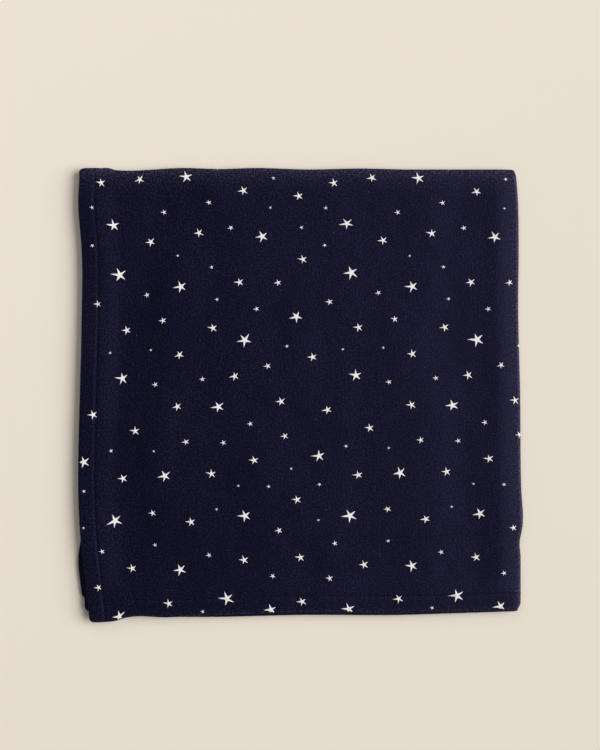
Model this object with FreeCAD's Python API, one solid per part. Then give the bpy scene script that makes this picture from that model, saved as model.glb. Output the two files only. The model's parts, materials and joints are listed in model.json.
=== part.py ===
"""A hemmed square of printed cotton jersey, a swaddling blanket, folded in half and in half again.

The sheet lies in four layers. From the floor up they are lower_outer, lower_inner, upper_inner and
upper_outer. The first fold is along the top end (+Y) and joins the layers in two pairs. The second fold
is along the side (+X): the outer layers go round it outside and the inner layers inside. The other side
(-X) and the other end (-Y) are open, and each layer has a hem there. The upper pair opens like the cover
of a book, about the side fold.

Frame: +X towards the side fold, +Y towards the end folds, +Z up. Origin: bottom centre. Millimetres.
"""

import FreeCAD, Part
import os

# ---- Driving sizes -------------------------------------------------------------------------------
folded_width = 445.0  # along X, from the open side to the outside of the side fold
folded_length = 454.0  # along Y, from the open end to the outside of the end folds
ply = 1.1  # one thickness of brushed jersey
hem_width = 18.0  # from a hem's folded edge to its raw edge
hem_plies = 2  # the cloth, and the part turned in behind it
opening_gap = 0.3  # between the pair that opens and the pair that stays
crease_gap = 0.2  # each rigid layer stops this far from the side fold's own axis
nesting_gap = 0.15  # between the hem of the outer side fold and the hem of the inner one
thread_size = 0.45  # thickness of the sewing thread
stitch_margin = 1.8  # from a hem's raw edge to its row of stitches
label_width = 22.0
label_length = 38.0
label_ply = 0.25  # satin tape, folded once
label_inset = 60.0  # from the open side to the label

# How far each layer's folded hem edges lie in from the furthest layer, at the open side and the open end.
side_steps = {"lower_outer": 0.0, "lower_inner": 1.5, "upper_inner": 3.0, "upper_outer": 2.0}
end_steps = {"lower_outer": 6.0, "lower_inner": 4.0, "upper_inner": 0.0, "upper_outer": 2.5}

# ---- Sizes that follow ---------------------------------------------------------------------------
hem_thick = hem_plies * ply
pair_thick = 2 * hem_thick
stack_height = 2 * pair_thick + opening_gap
middle_z = stack_height / 2
upper_z = pair_thick + opening_gap  # underside of the pair that opens

open_x = -folded_width / 2
open_y = -folded_length / 2
side_fold_radius = stack_height / 2
end_fold_radius = pair_thick / 2
side_axis_x = folded_width / 2 - side_fold_radius
end_axis_y = folded_length / 2 - end_fold_radius
layer_end_x = side_axis_x - crease_gap

# Each layer: underside of its hem, and whether the hem is turned in above the cloth or below it.
LAYERS = {
    "lower_outer": (0.0, "above"),
    "lower_inner": (hem_thick, "below"),
    "upper_inner": (upper_z, "above"),
    "upper_outer": (upper_z + hem_thick, "below"),
}

X_AXIS = FreeCAD.Vector(1, 0, 0)
Z_AXIS = FreeCAD.Vector(0, 0, 1)


def export(name, shape):
    """Writes one node, after checking that it is a sound solid."""
    if not shape.isValid() or shape.Volume <= 0:
        raise ValueError("the solid of " + name + " isn't sound")
    shape.exportStep("parts/" + name + ".step")


def block(x0, x1, y0, y1, z0, z1):
    """A box between those coordinates."""
    corner = FreeCAD.Vector(x0, y0, z0)
    return Part.makeBox(x1 - x0, y1 - y0, z1 - z0, corner)


def layer_edges(layer):
    """The x of a layer's open side and the y of its open end."""
    return open_x + side_steps[layer], open_y + end_steps[layer]


def cloth_z(layer):
    """The underside of a layer's single cloth, which is the ply away from the turned-in one."""
    hem_z, turned = LAYERS[layer]
    return hem_z if turned == "above" else hem_z + hem_thick - ply


# ---- Panels --------------------------------------------------------------------------------------
def panel(layer):
    """The single cloth of one layer, from its hems to its two folds."""
    side_x, end_y = layer_edges(layer)
    z = cloth_z(layer)
    return block(side_x + hem_width, layer_end_x, end_y + hem_width, end_axis_y, z, z + ply)


# ---- Hems and their stitches ---------------------------------------------------------------------
def hem_bar(length):
    """A hem running along +X from the origin, its round folded edge on y = 0 and its raw edge inside."""
    r = hem_thick / 2
    low_start = FreeCAD.Vector(0, r, 0)
    low_end = FreeCAD.Vector(0, hem_width, 0)
    high_end = FreeCAD.Vector(0, hem_width, hem_thick)
    high_start = FreeCAD.Vector(0, r, hem_thick)
    edges = [
        Part.LineSegment(low_start, low_end).toShape(),
        Part.LineSegment(low_end, high_end).toShape(),
        Part.LineSegment(high_end, high_start).toShape(),
        Part.Arc(high_start, FreeCAD.Vector(0, 0, r), low_start).toShape(),
    ]
    return Part.Face(Part.Wire(edges)).extrude(FreeCAD.Vector(length, 0, 0))


def thread_bars(length):
    """The needle thread and the bobbin thread of that hem, each let into its face of the hem."""
    y0 = hem_width - stitch_margin - thread_size
    y1 = y0 + thread_size
    bobbin = block(0, length, y0, y1, 0, thread_size)
    needle = block(0, length, y0, y1, hem_thick - thread_size, hem_thick)
    return Part.makeCompound([bobbin, needle])


def at_end(shape, layer):
    """Moves a hem shape to the open end, where it runs along +X from the side hem's raw edge."""
    side_x, end_y = layer_edges(layer)
    moved = shape.copy()
    moved.translate(FreeCAD.Vector(side_x + hem_width, end_y, LAYERS[layer][0]))
    return moved


def at_side(shape, layer):
    """Moves a hem shape to the open side, where it runs down along -Y from the end fold."""
    side_x = layer_edges(layer)[0]
    moved = shape.copy()
    moved.rotate(FreeCAD.Vector(0, 0, 0), Z_AXIS, -90)
    moved.translate(FreeCAD.Vector(side_x, end_axis_y, LAYERS[layer][0]))
    return moved


def hem_lengths(layer):
    """How long the end hem and the side hem of a layer are."""
    side_x, end_y = layer_edges(layer)
    return layer_end_x - side_x - hem_width, end_axis_y - end_y


# ---- Folds ---------------------------------------------------------------------------------------
def bend(length, outer, inner, leg):
    """A fold running along +X: a half ring that bulges to +Y, with a straight leg at each end of it."""
    o = [FreeCAD.Vector(0, -leg, -outer), FreeCAD.Vector(0, 0, -outer), FreeCAD.Vector(0, outer, 0)]
    o += [FreeCAD.Vector(0, 0, outer), FreeCAD.Vector(0, -leg, outer)]
    i = [FreeCAD.Vector(0, -leg, inner), FreeCAD.Vector(0, 0, inner), FreeCAD.Vector(0, inner, 0)]
    i += [FreeCAD.Vector(0, 0, -inner), FreeCAD.Vector(0, -leg, -inner)]
    edges = [Part.Arc(o[1], o[2], o[3]).toShape(), Part.Arc(i[1], i[2], i[3]).toShape()]
    edges += [Part.LineSegment(o[4], i[0]).toShape(), Part.LineSegment(i[4], o[0]).toShape()]
    if leg > 0:
        edges += [Part.LineSegment(o[0], o[1]).toShape(), Part.LineSegment(o[3], o[4]).toShape()]
        edges += [Part.LineSegment(i[0], i[1]).toShape(), Part.LineSegment(i[3], i[4]).toShape()]
    wire = Part.Wire(Part.__sortEdges__(edges))
    return Part.Face(wire).extrude(FreeCAD.Vector(length, 0, 0))


def end_fold(outer_layer, inner_layer, bottom_z):
    """The end fold of one pair. Where the side hems go round it, all its plies fill it."""
    side_x = max(layer_edges(outer_layer)[0], layer_edges(inner_layer)[0])
    hem_part = bend(hem_width, end_fold_radius, end_fold_radius - ply, 0)
    core = Part.makeCylinder(end_fold_radius - ply, hem_width, FreeCAD.Vector(0, 0, 0), X_AXIS)
    half = block(0, hem_width, 0, end_fold_radius, -end_fold_radius, end_fold_radius)
    hem_part = hem_part.fuse(core.common(half))
    hem_part.translate(FreeCAD.Vector(side_x, end_axis_y, bottom_z + end_fold_radius))
    plain_length = layer_end_x - side_x - hem_width
    plain = bend(plain_length, end_fold_radius, end_fold_radius - ply, 0)
    plain.translate(FreeCAD.Vector(side_x + hem_width, end_axis_y, bottom_z + end_fold_radius))
    return hem_part.fuse(plain).removeSplitter()


def side_fold(layers, outer, hem_outer, plain_inner, hem_inner):
    """A side fold from the end folds to the open end, thicker over the width of the end hem."""
    end_y = max(layer_edges(layer)[1] for layer in layers)
    plain_length = end_axis_y - end_y - hem_width
    plain = bend(plain_length, outer, plain_inner, crease_gap)
    hem_part = bend(hem_width, hem_outer, hem_inner, crease_gap)
    hem_part.translate(FreeCAD.Vector(plain_length, 0, 0))
    strip = plain.fuse(hem_part).removeSplitter()
    strip.rotate(FreeCAD.Vector(0, 0, 0), Z_AXIS, -90)
    strip.translate(FreeCAD.Vector(side_axis_x, end_axis_y, middle_z))
    return strip


# ---- The whole blanket ---------------------------------------------------------------------------
os.makedirs("parts", exist_ok=True)

for name in LAYERS:
    end_length, side_length = hem_lengths(name)
    end_threads = at_end(thread_bars(end_length), name)
    side_threads = at_side(thread_bars(side_length), name)
    export(name + "_panel", panel(name))
    export(name + "_end_hem", at_end(hem_bar(end_length), name).cut(end_threads))
    export(name + "_side_hem", at_side(hem_bar(side_length), name).cut(side_threads))
    export(name + "_end_hem_thread", end_threads)
    export(name + "_side_hem_thread", side_threads)

export("lower_end_fold", end_fold("lower_outer", "lower_inner", 0.0))
export("upper_end_fold", end_fold("upper_outer", "upper_inner", upper_z))

outer_hem_inner = side_fold_radius - hem_thick + nesting_gap
export(
    "outer_side_fold",
    side_fold(
        ("lower_outer", "upper_outer"),
        side_fold_radius,
        side_fold_radius,
        side_fold_radius - ply,
        outer_hem_inner,
    ),
)
export(
    "inner_side_fold",
    side_fold(
        ("lower_inner", "upper_inner"),
        opening_gap / 2 + ply,
        opening_gap / 2 + hem_thick,
        opening_gap / 2,
        opening_gap / 2,
    ),
)

label_x = open_x + label_inset
label_y = layer_edges("lower_outer")[1] + hem_width
label_z = cloth_z("lower_outer") + ply
export(
    "care_label",
    block(label_x, label_x + label_width, label_y, label_y + label_length, label_z, label_z + 2 * label_ply),
)
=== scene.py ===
"""Looks of a swaddling blanket: a hemmed square of navy jersey with printed stars, folded in quarters.

One flat sheet is described by two lengths in millimetres: P across it, which is 0 on the crease of the side
fold, and Q along it, which is 0 on the crease of the end folds. The layers are the four quarters of the
sheet: P > 0 is the pair that opens, P < 0 the pair that stays, Q > 0 the outer layers and Q < 0 the inner
ones. cloth_middle() folds that sheet up, and every piece but the label is cut from it or lies on it.
"""

import json
import math

import bpy
import numpy as np
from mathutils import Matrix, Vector


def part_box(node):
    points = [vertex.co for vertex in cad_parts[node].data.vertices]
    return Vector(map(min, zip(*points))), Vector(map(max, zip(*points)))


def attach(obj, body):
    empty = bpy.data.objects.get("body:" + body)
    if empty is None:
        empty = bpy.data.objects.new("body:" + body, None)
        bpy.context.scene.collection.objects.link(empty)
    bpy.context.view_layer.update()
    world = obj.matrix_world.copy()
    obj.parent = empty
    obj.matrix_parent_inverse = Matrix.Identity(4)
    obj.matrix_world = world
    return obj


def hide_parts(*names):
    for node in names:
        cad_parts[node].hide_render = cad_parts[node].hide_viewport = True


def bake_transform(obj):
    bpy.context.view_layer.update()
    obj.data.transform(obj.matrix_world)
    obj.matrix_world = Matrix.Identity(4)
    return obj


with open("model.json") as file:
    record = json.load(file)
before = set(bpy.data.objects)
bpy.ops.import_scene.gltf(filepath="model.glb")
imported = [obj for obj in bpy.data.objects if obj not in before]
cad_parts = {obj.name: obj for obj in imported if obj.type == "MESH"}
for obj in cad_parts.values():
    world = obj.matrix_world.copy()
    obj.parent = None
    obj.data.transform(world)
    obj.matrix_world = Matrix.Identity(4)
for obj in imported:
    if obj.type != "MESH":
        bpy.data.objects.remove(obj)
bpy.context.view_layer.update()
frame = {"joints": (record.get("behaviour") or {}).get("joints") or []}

MM = 0.001
SEED = 17


# ---- Sizes from the frame, in millimetres --------------------------------------------------------
def span(node):
    """Lowest and highest corner of a CAD node."""
    low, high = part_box(node)
    return np.array(low) / MM, np.array(high) / MM


LAYERS = {
    "lower_outer": {"side": -1, "end": 1, "body": "lower_pair", "print": -1},
    "lower_inner": {"side": -1, "end": -1, "body": "lower_pair", "print": 1},
    "upper_inner": {"side": 1, "end": -1, "body": "upper_pair", "print": -1},
    "upper_outer": {"side": 1, "end": 1, "body": "upper_pair", "print": 1},
}

hinge = frame["joints"][0]["pos_m"]
AXIS_X = hinge[0] / MM
MIDDLE_Z = hinge[2] / MM
END_AXIS_Y = span("upper_end_fold")[0][1]
for name, layer in LAYERS.items():
    panel_low, panel_high = span(name + "_panel")
    layer["z"] = (panel_low[2] + panel_high[2]) / 2
    layer["open_x"] = span(name + "_side_hem")[0][0]
    layer["open_y"] = span(name + "_end_hem")[0][1]

panel_low, panel_high = span("upper_outer_panel")
side_hem_low, side_hem_high = span("upper_outer_side_hem")
needle_low, needle_high = span("upper_outer_side_hem_thread")
PLY = panel_high[2] - panel_low[2]
HEM = side_hem_high[0] - side_hem_low[0]
STITCH_IN = (needle_low[0] + needle_high[0]) / 2 - side_hem_low[0]
PAIR_Z = (LAYERS["upper_outer"]["z"] + LAYERS["upper_inner"]["z"]) / 2 - MIDDLE_Z
END_RADIUS = (LAYERS["upper_outer"]["z"] - LAYERS["upper_inner"]["z"]) / 2

# The cloth itself, and the flat lengths that the folds and hems take up.
CLOTH = 0.8
SIDE_ARC = (PAIR_Z + END_RADIUS) * math.pi / 2
END_ARC = END_RADIUS * math.pi / 2
TURN = PLY / 2 * math.pi
EDGE_SET = PLY / 2 + CLOTH / 2
REACH_P = SIDE_ARC + AXIS_X - LAYERS["lower_outer"]["open_x"] - EDGE_SET
REACH_Q = END_ARC + END_AXIS_Y - LAYERS["upper_inner"]["open_y"] - EDGE_SET
STITCH_P = REACH_P + EDGE_SET - STITCH_IN
STITCH_Q = REACH_Q + EDGE_SET - STITCH_IN


# ---- Small helpers -------------------------------------------------------------------------------
def smooth(start, end, x):
    """0 before start, 1 after end, and an even S between them."""
    t = np.clip((x - start) / (end - start), 0, 1)
    return t * t * (3 - 2 * t)


def bump(x, width):
    """A soft bell of that half width."""
    return np.exp(-((x / width) ** 2))


def wave(points, at):
    """A smooth line through a few (place, height) points, level beyond its ends."""
    xs, ys = np.array(points, float).T
    slopes = np.gradient(ys, xs)
    at = np.clip(at, xs[0], xs[-1])
    i = np.clip(np.searchsorted(xs, at) - 1, 0, len(xs) - 2)
    h = xs[i + 1] - xs[i]
    t = (at - xs[i]) / h
    rise = t * t * (3 - 2 * t)
    bend = t * (1 - t) ** 2 * slopes[i] + t * t * (t - 1) * slopes[i + 1]
    return ys[i] * (1 - rise) + ys[i + 1] * rise + h * bend


def noise(x, y, cell, seed):
    """Even random hills between -1 and 1, about one to each cell of that size."""
    table = np.random.default_rng(seed).uniform(-1, 1, (64, 64))
    u, v = x / cell, y / cell
    i, j = np.floor(u).astype(int), np.floor(v).astype(int)
    s, t = u - i, v - j
    s, t = s * s * (3 - 2 * s), t * t * (3 - 2 * t)
    low = table[j % 64, i % 64] * (1 - s) + table[j % 64, (i + 1) % 64] * s
    high = table[(j + 1) % 64, i % 64] * (1 - s) + table[(j + 1) % 64, (i + 1) % 64] * s
    return low * (1 - t) + high * t


# ---- Outlines: how far each edge lies from where the CAD has it, at a few places along it --------
# Each is a list of (place along the edge, offset across it), in millimetres towards +X or +Y.
SIDE_FOLD_LINE = [
    (-172, -1.5), (-160, -2.5), (-140, 0.5), (-100, -1), (-5, -2),
    (90, -4), (140, -3.5), (200, -4.5), (220, -6),
]
END_FOLD_LINE = {
    1: [(-205, -0.5), (-188, -2.5), (-115, -0.5), (-80, -1.5), (-45, -0.5), (10, -2), (60, -1), (110, -2)],
    -1: [(-206, -1), (-198, 0.5), (-185, -3)],
}
OPEN_SIDE_LINE = {
    "lower_outer": [(-215, 8), (-161, 3), (0, 5), (200, 3)],
    "lower_inner": [(-226, 1.5), (-181, -2), (-164, 0.5), (-138, 3), (100, 3.5), (200, 1)],
    "upper_inner": [(-216, 3), (-200, 2), (200, 1.5)],
    "upper_outer": [
        (-222, 9), (-196, 6), (-176, 4), (-150, 1), (14, 0), (64, 1.5), (144, 1.5), (195, -2), (215, -1),
    ],
}
OPEN_END_LINE = {
    "lower_outer": [(-222, 20), (-150, 8), (0, 3), (218, 5)],
    "lower_inner": [(-222, 18), (-150, 8), (0, 4), (218, 6)],
    "upper_inner": [(-218, 9.5), (-150, 4), (-100, 3.5), (0, 5.5), (100, 5.5), (150, 7), (210, 9)],
    "upper_outer": [
        (-212, -4), (-195, -2.5), (-187, 0), (-140, 1), (-100, 3), (0, 6), (100, 6), (150, 7), (210, 9),
    ],
}
# Radii of the corners seen from above: on the side fold, and on the open side.
FOLD_CORNER, OPEN_CORNER = 8.0, 5.0
# The least by which each layer stops short of the hinge, and how much further out the inner crease may lie.
HINGE_CLEAR, NESTED = 0.4, 2.1


def corner_cut(from_one, from_other, radius):
    """How far a round corner pushes a place in, both ways, at those distances from its two edges."""
    near = np.clip(1 - from_one / radius, 0, 1) * np.clip(1 - from_other / radius, 0, 1)
    return radius * (1 + near - np.sqrt(1 + 2 * near - near * near)) / 2


# ---- The sheet, folded ---------------------------------------------------------------------------
# How far the middle of each layer sinks between its hems and its folds.
SINK = {"lower_outer": 0.0, "lower_inner": 0.5, "upper_inner": 0.3, "upper_outer": 1.3}
# How far each layer closes in on its fold's middle as it comes to the side fold and to the end fold.
TAPER = {
    "lower_outer": (1.5, 0.4),
    "lower_inner": (0, -0.9),
    "upper_inner": (0, 0.4),
    "upper_outer": (-1.5, -0.9),
}
# How deep the stitches pull into each layer's cloth.
ROW_DEPTH = {"lower_outer": 0.25, "lower_inner": 0.25, "upper_inner": 0.25, "upper_outer": 0.24}
# How much of the top's unevenness each layer shares.
SHARE = {"lower_outer": 0.0, "lower_inner": 0.25, "upper_inner": 0.3, "upper_outer": 1.0}
# A row of stitches: half width of its furrow, how far off its side ridges lie, how far its puckers reach.
FURROW, RIDGE_OFF, PUCKER_REACH = 1.1, 3.4, 6.5
# How much closer the two plies of a hem lie at the stitches, and how high a hem is domed up to them.
PRESS, DOME = 0.26, 0.20
# Soft rises and hollows: centre x, y, half widths across and along, turn in degrees, height.
HILLS = [
    (-180, 40, 13, 190, 1, -0.40),
    (-150, 140, 20, 80, -12, -0.95),
    (-138, -20, 16, 150, -3, 0.45),
    (-96, 90, 18, 120, 4, -0.30),
    (-40, -60, 24, 130, -4, 0.35),
    (20, 110, 22, 110, 3, -0.30),
    (64, -40, 20, 150, 5, -0.35),
    (118, 60, 22, 130, -4, 0.40),
    (165, -70, 16, 120, 3, -0.35),
    (205, -160, 16, 5, 35, -0.9),
]


def hills(x, y):
    """The broad rises and hollows of cloth that was smoothed down by hand."""
    total = 0.22 * noise(x, y * 0.45, 26, SEED) + 0.10 * noise(x, y, 11, SEED + 1)
    for cx, cy, across, along, turn, height in HILLS:
        c, s = math.cos(math.radians(turn)), math.sin(math.radians(turn))
        u, v = (x - cx) * c + (y - cy) * s, (y - cy) * c - (x - cx) * s
        total = total + height * bump(u, across) * bump(v, along)
    return total


def stitch_relief(from_row, along, seed):
    """The furrow that a row of stitches pulls into the cloth, the ridges beside it and its puckers."""
    depth = 1.0 + 0.35 * noise(along, 0 * along, 9.0, seed + 40)
    furrow = -depth * bump(from_row, FURROW) + 0.15 * bump(abs(from_row) - RIDGE_OFF, 2 * FURROW)
    pucker = 0.50 * noise(along, from_row * 0.15, 3.6, seed) * bump(from_row, PUCKER_REACH)
    return furrow + pucker


def squeeze(from_row):
    """How much closer the two plies of a hem lie at the row of stitches."""
    return PRESS * bump(from_row, 2 * FURROW)


def relief(name, p, q, x, y):
    """Height of one layer's cloth above its flat place.

    Each smooth() here rises between two distances in millimetres in from a hem's edge or from a fold.
    """
    layer = LAYERS[name]
    to_side, to_end = REACH_P - p, REACH_Q - q
    from_side, from_end = p - SIDE_ARC, q - END_ARC
    outer = layer["end"] > 0
    inside = smooth(STITCH_IN + 1, 40, to_side) * smooth(STITCH_IN + 1, 46, to_end)
    inside = inside * smooth(6 if outer else 16, 44, from_side) * smooth(6, 36, from_end)
    seed = SEED + layer["side"] + layer["end"]
    rows = stitch_relief(STITCH_P - p, y, seed + 2) + stitch_relief(STITCH_Q - q, x, seed + 7)
    rows = rows * ROW_DEPTH[name]
    dome = DOME * np.sin(math.pi * np.clip(to_side / STITCH_IN, 0, 1))
    dome = dome + DOME * np.sin(math.pi * np.clip(to_end / STITCH_IN, 0, 1))
    calm = (-2, 5) if outer else (8, 18)
    at_folds = smooth(*calm, from_side) * smooth(-2, 5, from_end)
    single = smooth(HEM - 2, HEM + 8, to_side) * smooth(HEM - 2, HEM + 8, to_end)
    near_side, near_end = 1 - smooth(-3, 20, from_side), 1 - smooth(-3, 18, from_end)
    taper = TAPER[name][0] * near_side + TAPER[name][1] * near_end * (1 - near_side)
    uneven = SHARE[name] * hills(x, y) * (0.25 + 0.75 * inside)
    flat_parts = taper * single - SINK[name] * inside
    proud = rows + dome
    if name == "lower_outer":
        proud = np.minimum(proud, 0)  # its printed face lies on the floor, so nothing stands out from it
    return uneven * at_folds + flat_parts + layer["print"] * proud * at_folds


def quarters(p_turn, q_turn):
    """How much each layer counts at a place: all of one on the layers, and a mixture in the folds."""
    for name, layer in LAYERS.items():
        yield name, layer, (1 + layer["side"] * p_turn) / 2 * (1 + layer["end"] * q_turn) / 2


def cloth_middle(P, Q):
    """The folded place of the cloth's middle, for flat places no further out than the hems' edges."""
    p, q = abs(P), abs(Q)
    q_turn = np.clip(Q / END_ARC, -1, 1)
    radius = PAIR_Z + END_RADIUS * np.sin(q_turn * math.pi / 2)
    side_arc = radius * math.pi / 2
    p_turn = np.clip(P / side_arc, -1, 1)
    run_p = np.maximum(p - side_arc, 0) / (REACH_P - side_arc)
    run_q = np.maximum(q - END_ARC, 0) / (REACH_Q - END_ARC)
    flat_x = AXIS_X - run_p * (REACH_P - SIDE_ARC)
    flat_y = END_AXIS_Y - run_q * (REACH_Q - END_ARC)

    bend_p, bend_q = np.cos(p_turn * math.pi / 2), np.cos(q_turn * math.pi / 2)
    half_wide, half_long = -LAYERS["lower_outer"]["open_x"], -LAYERS["upper_inner"]["open_y"]
    from_left, from_right = half_wide + flat_x, half_wide - flat_x - radius * bend_p
    from_near, from_far = half_long + flat_y, half_long - flat_y - END_RADIUS * bend_q
    # The inner layers' crease lies further out than the outer one's, save between the hems of the open end.
    nested = NESTED * (1 - q_turn) / 2 * smooth(HEM, HEM + 16, REACH_Q - q)
    side_line = wave(SIDE_FOLD_LINE, flat_y)
    bulge = np.maximum(side_line + HINGE_CLEAR, 0)
    crease_x = AXIS_X + np.minimum(side_line + nested, -HINGE_CLEAR)
    crease_y = END_AXIS_Y
    for side in (1, -1):
        crease_y = crease_y + (1 + side * p_turn) / 2 * wave(END_FOLD_LINE[side], flat_x)
    edge_x, edge_y, height = 0, 0, 0
    for name, layer, share in quarters(p_turn, q_turn):
        edge_x = edge_x + share * (layer["open_x"] + EDGE_SET + wave(OPEN_SIDE_LINE[name], flat_y))
        edge_y = edge_y + share * (layer["open_y"] + EDGE_SET + wave(OPEN_END_LINE[name], flat_x))
        height = height + share * relief(name, p, q, flat_x, flat_y)

    x = crease_x - run_p * (crease_x - edge_x) + (radius + bulge) * bend_p
    y = crease_y - run_q * (crease_y - edge_y) + END_RADIUS * bend_q
    z = MIDDLE_Z + radius * np.sin(p_turn * math.pi / 2) + height
    for way_x, from_side, corner in ((1, from_left, OPEN_CORNER), (-1, from_right, FOLD_CORNER)):
        for way_y, from_end in ((1, from_near), (-1, from_far)):
            cut = corner_cut(from_side, from_end, corner)
            x, y = x + way_x * cut, y + way_y * cut
    return np.stack(np.broadcast_arrays(x, y, z), axis=-1)


def unit(v):
    """Vectors of those directions, each of length 1."""
    return v / np.maximum(np.linalg.norm(v, axis=-1, keepdims=True), 1e-12)


def cloth_frame(P, Q):
    """Middle of the cloth, its printed side's direction, and its directions along P and Q."""
    step = 0.15
    lo_p, hi_p = np.maximum(P - step, -REACH_P), np.minimum(P + step, REACH_P)
    lo_q, hi_q = np.maximum(Q - step, -REACH_Q), np.minimum(Q + step, REACH_Q)
    along_p = unit(cloth_middle(hi_p, Q) - cloth_middle(lo_p, Q))
    along_q = unit(cloth_middle(P, hi_q) - cloth_middle(P, lo_q))
    return cloth_middle(P, Q), unit(np.cross(along_p, along_q)), along_p, along_q


def place(P, Q, lift):
    """Points of the folded sheet, lift out from the cloth's middle on its printed side, and directions.

    Past REACH_P and REACH_Q the cloth turns over into its hem and runs back behind itself.
    """
    P, Q = np.broadcast_arrays(np.asarray(P, float), np.asarray(Q, float))
    over_p, over_q = np.maximum(abs(P) - REACH_P, 0), np.maximum(abs(Q) - REACH_Q, 0)
    back_p, back_q = np.maximum(over_p - TURN, 0), np.maximum(over_q - TURN, 0)
    base_p = np.sign(P) * (np.minimum(abs(P), REACH_P) * (1 - back_q / REACH_P) - back_p)
    base_q = np.sign(Q) * (np.minimum(abs(Q), REACH_Q) * (1 - back_p / REACH_Q) - back_q)
    middle, out, along_p, along_q = cloth_frame(base_p, base_q)

    gap = PLY - squeeze(abs(base_p) - STITCH_P) * (over_p > 0)
    gap = gap - squeeze(abs(base_q) - STITCH_Q) * (over_q > 0)
    angle = np.minimum(np.maximum(over_p, over_q) / TURN, 1) * math.pi
    sign_p, sign_q = np.sign(P)[..., None], np.sign(Q)[..., None]
    edge_way = np.where((over_p > 0)[..., None], sign_p * along_p, sign_q * along_q)
    c, s, gap = np.cos(angle)[..., None], np.sin(angle)[..., None], gap[..., None]
    direction = out * c + edge_way * s
    point = middle - out * (gap / 2) * (1 - c) + edge_way * (gap / 2) * s
    return point + direction * lift, direction


# ---- One grid over the whole sheet ---------------------------------------------------------------
# How far lines lie in from a hem's edge, in from its stitches, back behind its edge, and past a fold's bend.
HEM_STEPS = [0, 0.7, 1.8, 3.6, 5.6, 7.8, 10.0, 12.0]
ROW_STEPS = [-2.3, -1.1, 0, 1.1, 2.3, 3.7, 5.4, 7.4]
BEHIND_STEPS = [3.0, 6.0, 9.0, 11.8, 14.1, 15.1, 16.2, HEM - EDGE_SET]
PAST_FOLD = [0.5, 1.1, 1.8, 2.7, 3.8]
# Spacing of the other lines, on the top's layer and on the layers that show less.
FINE, COARSE = 2.3, 3.45


def lines(arc, reach, stitch, spacing):
    """Flat places of the grid's lines from a crease's middle to a hem's raw edge."""
    bends = [0.4, 0.75, 1.1, 1.6] if arc > END_ARC else [0.65]
    fold = np.concatenate([bends, np.linspace(0, arc, 7), arc + np.array(PAST_FOLD)])
    near_row = [stitch - s for s in ROW_STEPS]
    from_edge = [reach - s for s in HEM_STEPS if reach - s > near_row[0]]
    plain_end = near_row[-1]
    plain = np.linspace(arc + PAST_FOLD[-1], plain_end, int((plain_end - arc) / spacing) + 1)[1:-1]
    turn = reach + TURN * np.linspace(0, 1, 6)[1:]
    behind = reach + TURN + np.array(BEHIND_STEPS)
    return np.unique(np.round(np.concatenate([fold, plain, near_row, from_edge, turn, behind]), 4))


P_UP = lines(SIDE_ARC, REACH_P, STITCH_P, FINE)
P_DOWN = lines(SIDE_ARC, REACH_P, STITCH_P, COARSE)
Q_OUT = lines(END_ARC, REACH_Q, STITCH_Q, FINE)
Q_IN = lines(END_ARC, REACH_Q, STITCH_Q, COARSE)
GRID_P = np.concatenate([-P_DOWN[:0:-1], P_UP])
GRID_Q = np.concatenate([-Q_IN[:0:-1], Q_OUT])
FRONT, OUTWARD = place(GRID_P[None, :], GRID_Q[:, None], CLOTH / 2)
BACK = FRONT - OUTWARD * CLOTH
CORNER = (abs(GRID_P)[None, :] > REACH_P + 1e-6) & (abs(GRID_Q)[:, None] > REACH_Q + 1e-6)


def on_cloth(P, Q, lift):
    """Points lift above the printed face of the grid at those flat places, and the face's directions."""
    i = np.clip(np.searchsorted(GRID_P, P) - 1, 0, len(GRID_P) - 2)
    j = np.clip(np.searchsorted(GRID_Q, Q) - 1, 0, len(GRID_Q) - 2)
    s = ((P - GRID_P[i]) / (GRID_P[i + 1] - GRID_P[i]))[..., None]
    t = ((Q - GRID_Q[j]) / (GRID_Q[j + 1] - GRID_Q[j]))[..., None]

    def between(grid):
        low = grid[j, i] * (1 - s) + grid[j, i + 1] * s
        high = grid[j + 1, i] * (1 - s) + grid[j + 1, i + 1] * s
        return low * (1 - t) + high * t

    out = unit(between(OUTWARD))
    return between(FRONT) + out * np.asarray(lift)[..., None], out


# ---- Meshes --------------------------------------------------------------------------------------
def make_piece(name, points, faces, material, flat=None, normals=None):
    """A smooth mesh object. flat is each point's place on the flat sheet, which the materials read."""
    mesh = bpy.data.meshes.new(name)
    mesh.from_pydata((np.asarray(points) * MM).tolist(), [], [list(map(int, f)) for f in faces])
    mesh.shade_smooth()
    mesh.materials.append(material)
    corners = np.zeros(len(mesh.loops), np.int32)
    mesh.loops.foreach_get("vertex_index", corners)
    if flat is not None:
        layer = mesh.uv_layers.new(name="Flat")
        layer.uv.foreach_set("vector", np.asarray(flat, np.float32)[corners].ravel())
    if normals is not None:
        mesh.normals_split_custom_set(np.asarray(normals)[corners].tolist())
    piece = bpy.data.objects.new(name, mesh)
    bpy.context.scene.collection.objects.link(piece)
    return piece


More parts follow.
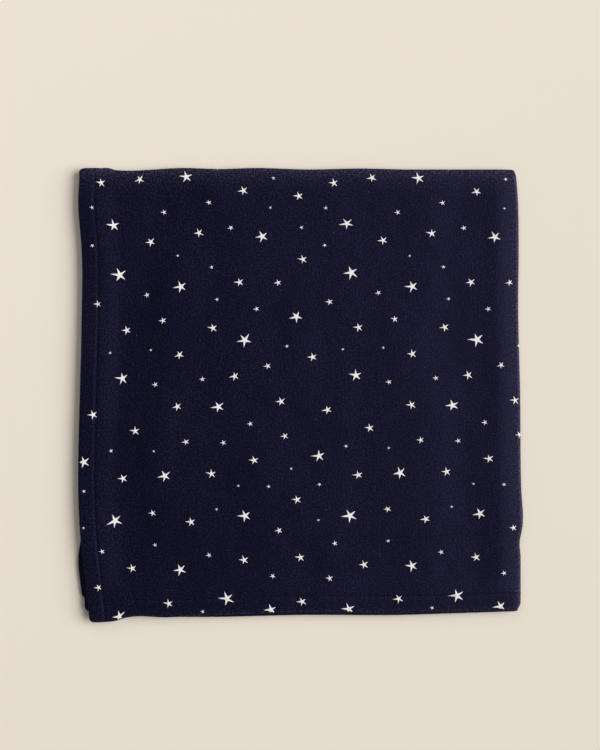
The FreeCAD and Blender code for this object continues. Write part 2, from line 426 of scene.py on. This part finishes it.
def cut_cloth(name, p_low, p_high, q_low, q_high, material):
    """The part of the sheet between those flat places, as a closed cloth of two faces and its rims."""
    cols = np.where((GRID_P > p_low - 1e-3) & (GRID_P < p_high + 1e-3))[0]
    rows = np.where((GRID_Q > q_low - 1e-3) & (GRID_Q < q_high + 1e-3))[0]
    wide, tall = len(cols), len(rows)
    index = np.arange(tall * wide).reshape(tall, wide)
    void = CORNER[np.ix_(rows, cols)]
    keep = ~(void[:-1, :-1] | void[1:, :-1] | void[:-1, 1:] | void[1:, 1:])
    quads = np.stack([index[:-1, :-1], index[:-1, 1:], index[1:, 1:], index[1:, :-1]], -1)[keep]

    front, back = FRONT[np.ix_(rows, cols)], BACK[np.ix_(rows, cols)]
    out = OUTWARD[np.ix_(rows, cols)].reshape(-1, 3)
    flat_p, flat_q = np.meshgrid(GRID_P[cols], GRID_Q[rows])
    count = tall * wide
    edges = np.concatenate([quads[:, [k, (k + 1) % 4]] for k in range(4)])
    ordered = np.sort(edges, 1)
    _, first, uses = np.unique(ordered[:, 0] * count + ordered[:, 1], return_index=True, return_counts=True)
    border = edges[first[uses == 1]]
    rim = np.stack([border[:, 1], border[:, 0], border[:, 0] + count, border[:, 1] + count], -1)

    points = np.concatenate([front.reshape(-1, 3), back.reshape(-1, 3)])
    faces = np.concatenate([quads, quads[:, ::-1] + count, rim])
    flat = np.tile(np.stack([flat_p.ravel(), flat_q.ravel()], -1), (2, 1))
    used, faces = np.unique(faces, return_inverse=True)
    normals = np.concatenate([out, -out])[used]
    return make_piece(name, points[used], faces.reshape(-1, 4), material, flat[used], normals)


# ---- Materials -----------------------------------------------------------------------------------
def new_material(name):
    """A new material, its principled shader, and short ways to add a node and a link to it."""
    material = bpy.data.materials.new(name)
    material.use_nodes = True
    tree = material.node_tree
    shader = tree.nodes["Principled BSDF"]

    def add(kind, **values):
        node = tree.nodes.new("ShaderNode" + kind)
        for key, value in values.items():
            if key in node.inputs:
                node.inputs[key].default_value = value
            else:
                setattr(node, key, value)
        return node

    return material, shader, add, tree.links.new


def flat_places(add, link, scale):
    """A coordinate on the flat sheet, in millimetres, stretched by scale."""
    flat = add("UVMap", uv_map="Flat")
    stretch = add("Mapping")
    stretch.inputs["Scale"].default_value = scale
    link(flat.outputs["UV"], stretch.inputs["Vector"])
    return stretch.outputs["Vector"]


def colour_ramp(add, stops):
    """A ramp through (place, linear colour) stops."""
    ramp = add("ValToRGB")
    while len(ramp.color_ramp.elements) < len(stops):
        ramp.color_ramp.elements.new(1.0)
    for element, (at, colour) in zip(ramp.color_ramp.elements, stops):
        element.position = at
        element.color = (*colour, 1)
    return ramp


def mixed(add, link, factor, a, b, blend="MIX"):
    """A colour mix of a and b, each a socket or a colour."""
    mix = add("Mix", data_type="RGBA", blend_type=blend)
    for socket, value in ((mix.inputs[0], factor), (mix.inputs[6], a), (mix.inputs[7], b)):
        if hasattr(value, "links"):
            link(value, socket)
        else:
            socket.default_value = value if isinstance(value, float) else (*value, 1)
    return mix.outputs[2]


def worked(add, link, operation, *values):
    """A number worked out from others, each a socket or a plain number."""
    node = add("Math", operation=operation)
    for socket, value in zip(node.inputs, values):
        if hasattr(value, "links"):
            link(value, socket)
        else:
            socket.default_value = value
    return node.outputs[0]


def colour_and_bumps(shader, add, link, source, stops, strength, depth):
    """Gives a material its colours, through a ramp, and its fine bumps from one texture."""
    ramp = colour_ramp(add, stops)
    link(source, ramp.inputs["Fac"])
    link(ramp.outputs["Color"], shader.inputs["Base Color"])
    bumps = add("Bump", Strength=strength, Distance=depth)
    link(source, bumps.inputs["Height"])
    link(bumps.outputs["Normal"], shader.inputs["Normal"])


def jersey():
    """Brushed navy cotton jersey: fine wales along Q, a soft nap, faint streaks, specks of lint, and painted
    sheen, a paler colour along its folds and the end hem's edge.
    """
    material, shader, add, link = new_material("navy_jersey")
    wales = add("TexWave", wave_type="BANDS", bands_direction="X", Scale=0.46, Distortion=1.2)
    wales.inputs["Detail Scale"].default_value = 0.6
    link(flat_places(add, link, (1, 0.35, 1)), wales.inputs["Vector"])
    streaks = add("TexNoise", Scale=1.0, Detail=3.0, Roughness=0.6)
    link(flat_places(add, link, (0.75, 0.05, 1)), streaks.inputs["Vector"])
    nap = add("TexNoise", Scale=1.0, Detail=1.5, Roughness=0.55)
    link(flat_places(add, link, (0.62, 0.50, 1)), nap.inputs["Vector"])
    clouds = add("TexNoise", Scale=1.0, Detail=2.0, Roughness=0.5)
    link(flat_places(add, link, (0.02, 0.009, 1)), clouds.inputs["Vector"])

    broad = mixed(add, link, 0.45, streaks.outputs["Fac"], clouds.outputs["Fac"])
    dye = colour_ramp(add, [(0.43, (0.0030, 0.0032, 0.0134)), (0.57, (0.0074, 0.0072, 0.0248))])
    link(broad, dye.inputs["Fac"])
    # Paler navy along the folds and the end hem's edge: painted sheen, standing in for the light that the
    # curving cloth catches.
    dye_and_painted_sheen = mixed(add, link, painted_fold_sheen(add, link), dye.outputs["Color"], (0.062, 0.056, 0.104))
    tufts = colour_ramp(add, [(0.40, (0.10, 0.10, 0.11)), (0.51, (0.31, 0.31, 0.32)), (0.62, (1, 1, 1))])
    link(nap.outputs["Fac"], tufts.inputs["Fac"])
    base = mixed(add, link, 1.0, dye_and_painted_sheen, tufts.outputs["Color"], "MULTIPLY")
    base = mixed(add, link, lint_specks(add, link), base, (0.20, 0.19, 0.21))
    link(base, shader.inputs["Base Color"])

    rough = add("MapRange")
    rough.inputs["To Min"].default_value = 0.40
    rough.inputs["To Max"].default_value = 0.56
    link(nap.outputs["Fac"], rough.inputs["Value"])
    link(rough.outputs["Result"], shader.inputs["Roughness"])

    knit = add("Bump", Strength=0.30, Distance=0.00025)
    link(wales.outputs["Fac"], knit.inputs["Height"])
    fuzz = add("Bump", Strength=0.50, Distance=0.0005)
    link(nap.outputs["Fac"], fuzz.inputs["Height"])
    link(knit.outputs["Normal"], fuzz.inputs["Normal"])
    link(fuzz.outputs["Normal"], shader.inputs["Normal"])
    shader.inputs["Specular IOR Level"].default_value = 0.21
    shader.inputs["Specular Tint"].default_value = (0.42, 0.39, 1.0, 1)
    shader.inputs["Sheen Weight"].default_value = 0.04
    shader.inputs["Sheen Roughness"].default_value = 0.30
    shader.inputs["Sheen Tint"].default_value = (0.55, 0.51, 1.0, 1)
    return material


# Bands of painted sheen, a paler colour standing in for the light that the cloth catches where it curves
# round its folds and the end hem's edge: along which flat axis they fade, from how far out, how strong, and
# over what distance.
PAINTED_SHEEN_BANDS = [("X", 0.0, 1.7, 4.5), ("Y", 0.0, 1.0, 7.0), ("Y", REACH_Q, 0.3, 1.8)]
MOST_PAINTED_SHEEN = 0.75


def painted_fold_sheen(add, link):
    """How much painted sheen lies at a place: a paler colour that stands in for light along the creases of
    the folds and the end hem's edge.
    """
    apart = add("SeparateXYZ")
    link(flat_places(add, link, (1, 1, 1)), apart.inputs["Vector"])
    total = 0.0
    for axis, line, strength, fade_over in PAINTED_SHEEN_BANDS:
        away = worked(add, link, "ABSOLUTE", apart.outputs[axis])
        from_line = worked(add, link, "SUBTRACT", away, line)
        distance = worked(add, link, "ABSOLUTE", from_line)
        fade = worked(add, link, "MULTIPLY", distance, -1 / fade_over)
        level = worked(add, link, "EXPONENT", fade)
        total = worked(add, link, "MULTIPLY_ADD", level, strength, total)
    return worked(add, link, "MINIMUM", total, MOST_PAINTED_SHEEN)


def lint_specks(add, link):
    """How much of a speck of lint lies at a place: a few soft dots, well apart."""
    lint = add("TexVoronoi", feature="F1", distance="EUCLIDEAN", Scale=1.0)
    link(flat_places(add, link, (0.11, 0.11, 1)), lint.inputs["Vector"])
    speck = colour_ramp(add, [(0.035, (0.3, 0.3, 0.3)), (0.06, (0, 0, 0))])
    link(lint.outputs["Distance"], speck.inputs["Fac"])
    chosen = add("SeparateColor")
    link(lint.outputs["Color"], chosen.inputs["Color"])
    few = worked(add, link, "GREATER_THAN", chosen.outputs["Red"], 0.80)
    return worked(add, link, "MULTIPLY", speck.outputs["Color"], few)


def star_ink():
    """Matt off-white print, a little uneven where it sinks into the knit."""
    material, shader, add, link = new_material("star_ink")
    grain = add("TexNoise", Scale=1.0, Detail=4.0, Roughness=0.7)
    link(flat_places(add, link, (1.4, 0.8, 1)), grain.inputs["Vector"])
    stops = [(0.25, (0.72, 0.71, 0.71)), (0.60, (0.84, 0.83, 0.82))]
    colour_and_bumps(shader, add, link, grain.outputs["Fac"], stops, 0.35, 0.0002)
    shader.inputs["Roughness"].default_value = 0.85
    shader.inputs["Specular IOR Level"].default_value = 0.2
    return material


def sewing_thread():
    """Dark navy spun thread, with its twist as a fine slanting band."""
    material, shader, add, link = new_material("sewing_thread")
    twist = add("TexWave", wave_type="BANDS", bands_direction="DIAGONAL", Scale=1.0)
    link(flat_places(add, link, (2.6, 2.6, 1)), twist.inputs["Vector"])
    stops = [(0.2, (0.004, 0.004, 0.011)), (0.8, (0.011, 0.011, 0.027))]
    colour_and_bumps(shader, add, link, twist.outputs["Fac"], stops, 0.5, 0.0001)
    shader.inputs["Roughness"].default_value = 0.7
    shader.inputs["Specular IOR Level"].default_value = 0.15
    return material


def satin_tape():
    """White satin label tape: a close weave with a soft shine."""
    material, shader, add, link = new_material("satin_tape")
    weave = add("TexWave", wave_type="BANDS", bands_direction="Y", Scale=1.0, Distortion=0.4)
    link(flat_places(add, link, (1.5, 1.5, 1)), weave.inputs["Vector"])
    stops = [(0.2, (0.70, 0.70, 0.69)), (0.8, (0.84, 0.84, 0.83))]
    colour_and_bumps(shader, add, link, weave.outputs["Fac"], stops, 0.3, 0.0001)
    shader.inputs["Roughness"].default_value = 0.38
    return material


def paper():
    """The plain pale sheet that the blanket lies on."""
    material, shader, add, link = new_material("pale_paper")
    grain = add("TexNoise", Scale=9.0, Detail=5.0)
    ramp = colour_ramp(add, [(0.3, (0.790, 0.722, 0.628)), (0.7, (0.810, 0.742, 0.646))])
    link(grain.outputs["Fac"], ramp.inputs["Fac"])
    link(ramp.outputs["Color"], shader.inputs["Base Color"])
    shader.inputs["Roughness"].default_value = 0.9
    shader.inputs["Specular IOR Level"].default_value = 0.1
    return material


JERSEY, INK, THREAD, SATIN = jersey(), star_ink(), sewing_thread(), satin_tape()

# ---- Cloth pieces --------------------------------------------------------------------------------
END_P, END_Q = GRID_P[-1], GRID_Q[-1]


def fold_blend(piece):
    """Bakes the place of a piece of a side fold, which lies within a few millimetres of the hinge, into its
    points; the piece stays with neither pair.
    """
    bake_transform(piece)


def layer_cloth(name):
    """One layer, from the middle of its end fold to its hems."""
    layer = LAYERS[name]
    p_range = sorted((layer["side"] * SIDE_ARC, layer["side"] * END_P))
    q_range = sorted((0, layer["end"] * END_Q))
    piece = cut_cloth(name + "_cloth", *p_range, *q_range, JERSEY)
    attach(piece, layer["body"])
    nodes = [name + part for part in ("_panel", "_end_hem", "_side_hem")]
    if layer["end"] > 0:
        nodes.append(layer["body"].replace("_pair", "_end_fold"))
    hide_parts(*nodes)
    return piece


def side_fold_cloth(which):
    """The strip of cloth that turns round the side fold and joins the two pairs."""
    q_range = (0, END_Q) if which == "outer" else (-END_Q, 0)
    piece = cut_cloth(which + "_side_fold_cloth", -SIDE_ARC, SIDE_ARC, *q_range, JERSEY)
    fold_blend(piece)
    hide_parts(which + "_side_fold")
    return piece


cloths = {name: layer_cloth(name) for name in LAYERS}
folds = {which: side_fold_cloth(which) for which in ("outer", "inner")}

# ---- Printed stars -------------------------------------------------------------------------------
TILE_P, TILE_Q = 236.0, 472.0
# Size across, how many of every hundred stars have it, and how far apart stars of that size stay.
STAR_SIZES = [(14, 5, 62), (12, 15, 46), (9, 30, 34), (7, 10, 30), (5.5, 15, 28), (4, 15, 26), (3, 10, 26)]
STARS_PER_TILE = 89
# Spots tried for each star, how far apart any two stay, and how far off a star of any size, or of the same
# size, no longer counts.
TRIES, ANY_APART, ANY_FAR, SAME_FAR = 260, 30, 80, 120
# A star's arms, how much longer its first one is, and how far out its dents lie, as a share of its reach.
ARMS, LONG_ARM, DENT = 5, 1.30, 0.31
# How thick the ink is, how deep its edge dips into the cloth, and how far stars stay from the raw edge.
FILM, SKIRT, RAW_MARGIN = 0.07, 0.12, 12


def scatter():
    """Places and sizes of the stars in one repeat of the print, kept well apart."""
    rng = np.random.default_rng(SEED + 30)
    tile = np.array([TILE_P, TILE_Q])
    found = np.zeros((0, 2))
    sizes = []
    for size, share, apart in STAR_SIZES:
        first = len(found)
        for _ in range(round(STARS_PER_TILE * share / 100)):
            best, best_room = None, -1e9
            for spot in rng.uniform(0, 1, (TRIES, 2)) * tile:
                away = abs(found - spot)
                away = np.linalg.norm(np.minimum(away, tile - away), axis=1)
                from_any, from_same = away.min(initial=ANY_FAR), away[first:].min(initial=SAME_FAR)
                room = min(from_any / ANY_APART, from_same / apart)
                if room > best_room:
                    best, best_room = spot, room
            found = np.vstack([found, best])
            sizes.append(size)
    return found, np.array(sizes), rng


def star_outline(size, rng):
    """A slightly uneven star, its long arm about along +P and its tips narrow, as offsets in P and Q."""
    reach = size / 2
    arm_turn = 360 / ARMS
    tilt = rng.normal(0, 7)
    corners = []
    for arm in range(ARMS):
        tip = reach * (LONG_ARM if arm == 0 else 1.0) * rng.uniform(0.92, 1.08)
        angle = math.radians(tilt + arm_turn * arm + rng.normal(0, 4))
        dent_angle = math.radians(tilt + arm_turn * (arm + 0.5) + rng.normal(0, 3))
        dent = reach * DENT * rng.uniform(0.92, 1.08)
        for turn in (-1.0, 1.0):
            a = angle + math.radians(turn)
            corners.append((tip * math.cos(a), tip * math.sin(a)))
        corners.append((dent * math.cos(dent_angle), dent * math.sin(dent_angle)))
    corners = np.array(corners)
    after = np.roll(corners, -1, axis=0)
    return np.stack([corners, (corners * 2 + after) / 3, (corners + after * 2) / 3], 1).reshape(-1, 2)


def star_mesh(centre, outline):
    """Points and faces of one star's film of ink: a middle, three rings, and a skirt into the cloth."""
    rings = [outline * k for k in (0.35, 0.7, 1.0, 1.0)]
    flat = np.concatenate([np.zeros((1, 2)), *rings]) + centre
    n = len(outline)
    lift = np.full(len(flat), FILM)
    lift[-n:] = -SKIRT
    points, _ = on_cloth(flat[:, 0], flat[:, 1], lift)
    faces = [(0, 1 + k, 1 + (k + 1) % n) for k in range(n)]
    for ring in range(3):
        low, high = 1 + ring * n, 1 + (ring + 1) * n
        for k in range(n):
            a, b = low + k, low + (k + 1) % n
            c, d = high + (k + 1) % n, high + k
            faces += [(a, d, c), (a, c, b)]
    return points, faces, flat


def print_stars():
    """All stars of the sheet, gathered by the piece of cloth that they are printed on."""
    spots, sizes, rng = scatter()
    groups = {}
    for tile_p in range(-3, 3):
        for tile_q in range(-2, 2):
            for (p, q), size in zip(spots, sizes):
                centre = np.array([p + tile_p * TILE_P, q + tile_q * TILE_Q])
                outline = star_outline(size, rng)
                out = abs(centre) + abs(outline).max(0)
                if out[0] > END_P - RAW_MARGIN or out[1] > END_Q - RAW_MARGIN:
                    continue
                if out[0] > REACH_P and out[1] > REACH_Q:
                    continue
                end = "outer" if centre[1] > 0 else "inner"
                crosses = abs(centre[0]) - abs(outline[:, 0]).max() < SIDE_ARC
                side = "upper" if centre[0] > 0 else "lower"
                key = end + "_side_fold" if crosses else side + "_" + end
                groups.setdefault(key, []).append(star_mesh(centre, outline))
    return groups


def star_piece(key, stars):
    """The stars of one piece of cloth as one object."""
    start = np.cumsum([0] + [len(points) for points, _, _ in stars])
    points = np.concatenate([points for points, _, _ in stars])
    flat = np.concatenate([flat for _, _, flat in stars])
    faces = [tuple(i + at for i in face) for at, (_, star, _) in zip(start, stars) for face in star]
    piece = make_piece(key + "_stars", points, faces, INK, flat)
    if key in LAYERS:
        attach(piece, LAYERS[key]["body"])
    else:
        fold_blend(piece)
    return piece


stars = {key: star_piece(key, group) for key, group in sorted(print_stars().items())}

# ---- Stitches ------------------------------------------------------------------------------------
PITCH, DASH, THREAD_SIZE = 2.8, 2.15, 0.44
# Along each stitch: where, as a share of its length, how far out from the cloth's face, and how thick.
DASH_SHAPE = [
    (-0.50, -0.24, 0.6),
    (-0.40, -0.05, 1.0),
    (0.0, 0.02, 1.05),
    (0.40, -0.05, 1.0),
    (0.50, -0.24, 0.6),
]
# How far a stitch may stray, along its row and across it, and how far the thread stays off the floor.
STRAY, FLOOR_CLEAR = 0.05, 0.02


def dashes(middles_p, middles_q, along):
    """A row of stitches on the cloth's face. along is 0 where the row runs along P, and 1 along Q."""
    sides = 6  # of the thread's section
    points, flats, faces = [], [], []
    step = np.array([1.0, 0.0]) if along == 0 else np.array([0.0, 1.0])
    for share, lift, fat in DASH_SHAPE:
        p, q = middles_p + step[0] * share * DASH, middles_q + step[1] * share * DASH
        point, out = place(p, q, CLOTH / 2)
        ahead, _ = place(p + step[0] * 0.2, q + step[1] * 0.2, CLOTH / 2)
        across = unit(np.cross(ahead - point, out))
        for k in range(sides):
            a = 2 * math.pi * k / sides
            r = THREAD_SIZE / 2 * fat
            points.append(point + out * (lift + r * math.sin(a)) + across * (r * math.cos(a)))
            flats.append(np.stack([p, q], -1) + (k * 0.18, share))
    rings, count = len(DASH_SHAPE), len(middles_p)
    points = np.stack(points, 1).reshape(-1, 3)
    points[:, 2] = np.maximum(points[:, 2], FLOOR_CLEAR)  # pressed flat by the floor
    flats = np.stack(flats, 1).reshape(-1, 2)
    for dash in range(count):
        base = dash * rings * sides
        for ring in range(rings - 1):
            for k in range(sides):
                a, b = base + ring * sides + k, base + ring * sides + (k + 1) % sides
                faces.append((a, b, b + sides, a + sides))
        faces.append(tuple(base + k for k in reversed(range(sides))))
        faces.append(tuple(base + (rings - 1) * sides + k for k in range(sides)))
    return points, faces, flats


def hem_row(name, hem):
    """The needle and the bobbin thread of one hem of one layer."""
    layer = LAYERS[name]
    along_end = hem == "end"
    first = SIDE_ARC if along_end else 0.0
    last = (REACH_P if along_end else REACH_Q) - 0.8 * DASH
    middles = np.arange(first + PITCH / 2, last, PITCH)
    rng = np.random.default_rng(SEED + 60)
    middles = middles + rng.normal(0, STRAY, len(middles))
    row = STITCH_Q if along_end else STITCH_P
    reach = REACH_Q if along_end else REACH_P
    behind = 2 * reach + TURN - row
    made = []
    for across in (row, behind):
        strayed = across + rng.normal(0, STRAY, len(middles))
        p, q = (middles, strayed) if along_end else (strayed, middles)
        made.append(dashes(layer["side"] * p, layer["end"] * q, 0 if along_end else 1))
    count = len(made[0][0])
    points = np.concatenate([made[0][0], made[1][0]])
    flats = np.concatenate([made[0][2], made[1][2]])
    faces = made[0][1] + [tuple(i + count for i in face) for face in made[1][1]]
    piece = make_piece(name + "_" + hem + "_stitches", points, faces, THREAD, flats)
    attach(piece, layer["body"])
    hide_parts(name + "_" + hem + "_hem_thread")
    return piece


def fold_row(which):
    """The few stitches of the end hem that go round a side fold."""
    end = 1 if which == "outer" else -1
    middles = np.arange(-SIDE_ARC + PITCH / 2, SIDE_ARC, PITCH)
    points, faces, flats = dashes(middles, np.full(len(middles), end * STITCH_Q), 0)
    piece = make_piece(which + "_side_fold_stitches", points, faces, THREAD, flats)
    fold_blend(piece)
    return piece


stitches = {(name, hem): hem_row(name, hem) for name in LAYERS for hem in ("side", "end")}
fold_stitches = {which: fold_row(which) for which in ("outer", "inner")}

# ---- Care label ----------------------------------------------------------------------------------
label_low, label_high = span("care_label")
TAPE = 0.16


def care_label():
    """A blank tape folded in two, its ends sewn under the hem and its fold lying loose."""
    wide, long = label_high[0] - label_low[0], label_high[1] - label_low[1]
    level = label_low[2] + TAPE
    # Share of the label's length, and height, from the lower sewn end round the fold and back.
    profile = [(0.0, level), (0.3, level + 0.02), (0.7, level), (0.94, level + 0.05)]
    profile += [(0.985, level + 0.14), (1.0, level + 0.27), (0.985, level + 0.42)]
    profile += [(0.94, level + 0.50), (0.7, level + 0.42), (0.3, level + 0.34), (0.0, level + 0.30)]
    line = np.array(profile)
    line[:, 0] = label_low[1] + line[:, 0] * long
    run = np.concatenate([[0], np.cumsum(np.linalg.norm(np.diff(line, axis=0), axis=1))])
    fine = np.linspace(0, run[-1], 61)
    y, z = wave(np.stack([run, line[:, 0]], 1), fine), wave(np.stack([run, line[:, 1]], 1), fine)
    across = np.linspace(label_low[0], label_high[0], 13)
    curl = 0.05 * ((across - across.mean()) / wide * 2) ** 2
    points = np.stack(np.broadcast_arrays(across[None, :], y[:, None], z[:, None] + curl[None, :]), -1)
    flat = np.stack(np.meshgrid(across, fine), -1).reshape(-1, 2)
    index = np.arange(points[..., 0].size).reshape(points.shape[:2])
    quads = np.stack([index[:-1, :-1], index[:-1, 1:], index[1:, 1:], index[1:, :-1]], -1).reshape(-1, 4)
    piece = make_piece("blank_care_label", points.reshape(-1, 3), quads, SATIN, flat)
    solid = piece.modifiers.new("thickness", "SOLIDIFY")
    solid.thickness = TAPE * MM
    solid.offset = 0
    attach(piece, "lower_pair")
    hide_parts("care_label")
    return piece, (wide, run[-1])


label, label_flat = care_label()


# ---- Floor, light and camera ---------------------------------------------------------------------
def make_floor():
    """A pale floor that reaches well past the view."""
    mesh = bpy.data.meshes.new("floor")
    half = 6.0
    corners = [(-half, -half, 0), (half, -half, 0), (half, half, 0), (-half, half, 0)]
    mesh.from_pydata(corners, [], [(0, 1, 2, 3)])
    mesh.materials.append(paper())
    floor = bpy.data.objects.new("floor", mesh)
    bpy.context.scene.collection.objects.link(floor)


def add_light(light, place_at):
    """Puts a light at place_at, facing the blanket."""
    lamp = bpy.data.objects.new(light.name, light)
    lamp.location = place_at
    lamp.rotation_euler = (-Vector(place_at)).to_track_quat("-Z", "Y").to_euler()
    bpy.context.scene.collection.objects.link(lamp)


def light_scene():
    """A broad soft light from the right, a faint card beyond the end folds, and a low even fill."""
    world = bpy.data.worlds.new("studio")
    bpy.context.scene.world = world
    world.use_nodes = True
    sky = world.node_tree.nodes["Background"]
    sky.inputs["Color"].default_value = (1.0, 0.995, 0.99, 1)
    sky.inputs["Strength"].default_value = 0.20

    window = bpy.data.lights.new("window", "SUN")
    window.angle = math.radians(50)
    window.energy = 4.05
    window.color = (1.0, 0.985, 0.965)
    add_light(window, (3.6, 0.25, 2.45))

    card = bpy.data.lights.new("card", "AREA")
    card.size = 1.2
    card.energy = 9
    card.color = (1.0, 0.99, 0.98)
    add_light(card, (-0.5, 1.9, 1.5))
    bpy.context.scene.view_settings.view_transform = "Standard"


def make_camera():
    """Straight down over the blanket, with a little more room above it in the frame than below."""
    camera = bpy.data.cameras.new("camera")
    height, frame_tall = 1.3, 0.750
    off_centre_x, off_centre_y = -0.0005, 0.019
    top = LAYERS["upper_outer"]["z"] * MM
    camera.sensor_width = 36
    camera.lens = 36 * (height - top) / frame_tall
    viewer = bpy.data.objects.new("camera", camera)
    viewer.location = (off_centre_x, off_centre_y, height)
    bpy.context.scene.collection.objects.link(viewer)
    bpy.context.scene.camera = viewer


make_floor()
light_scene()
make_camera()
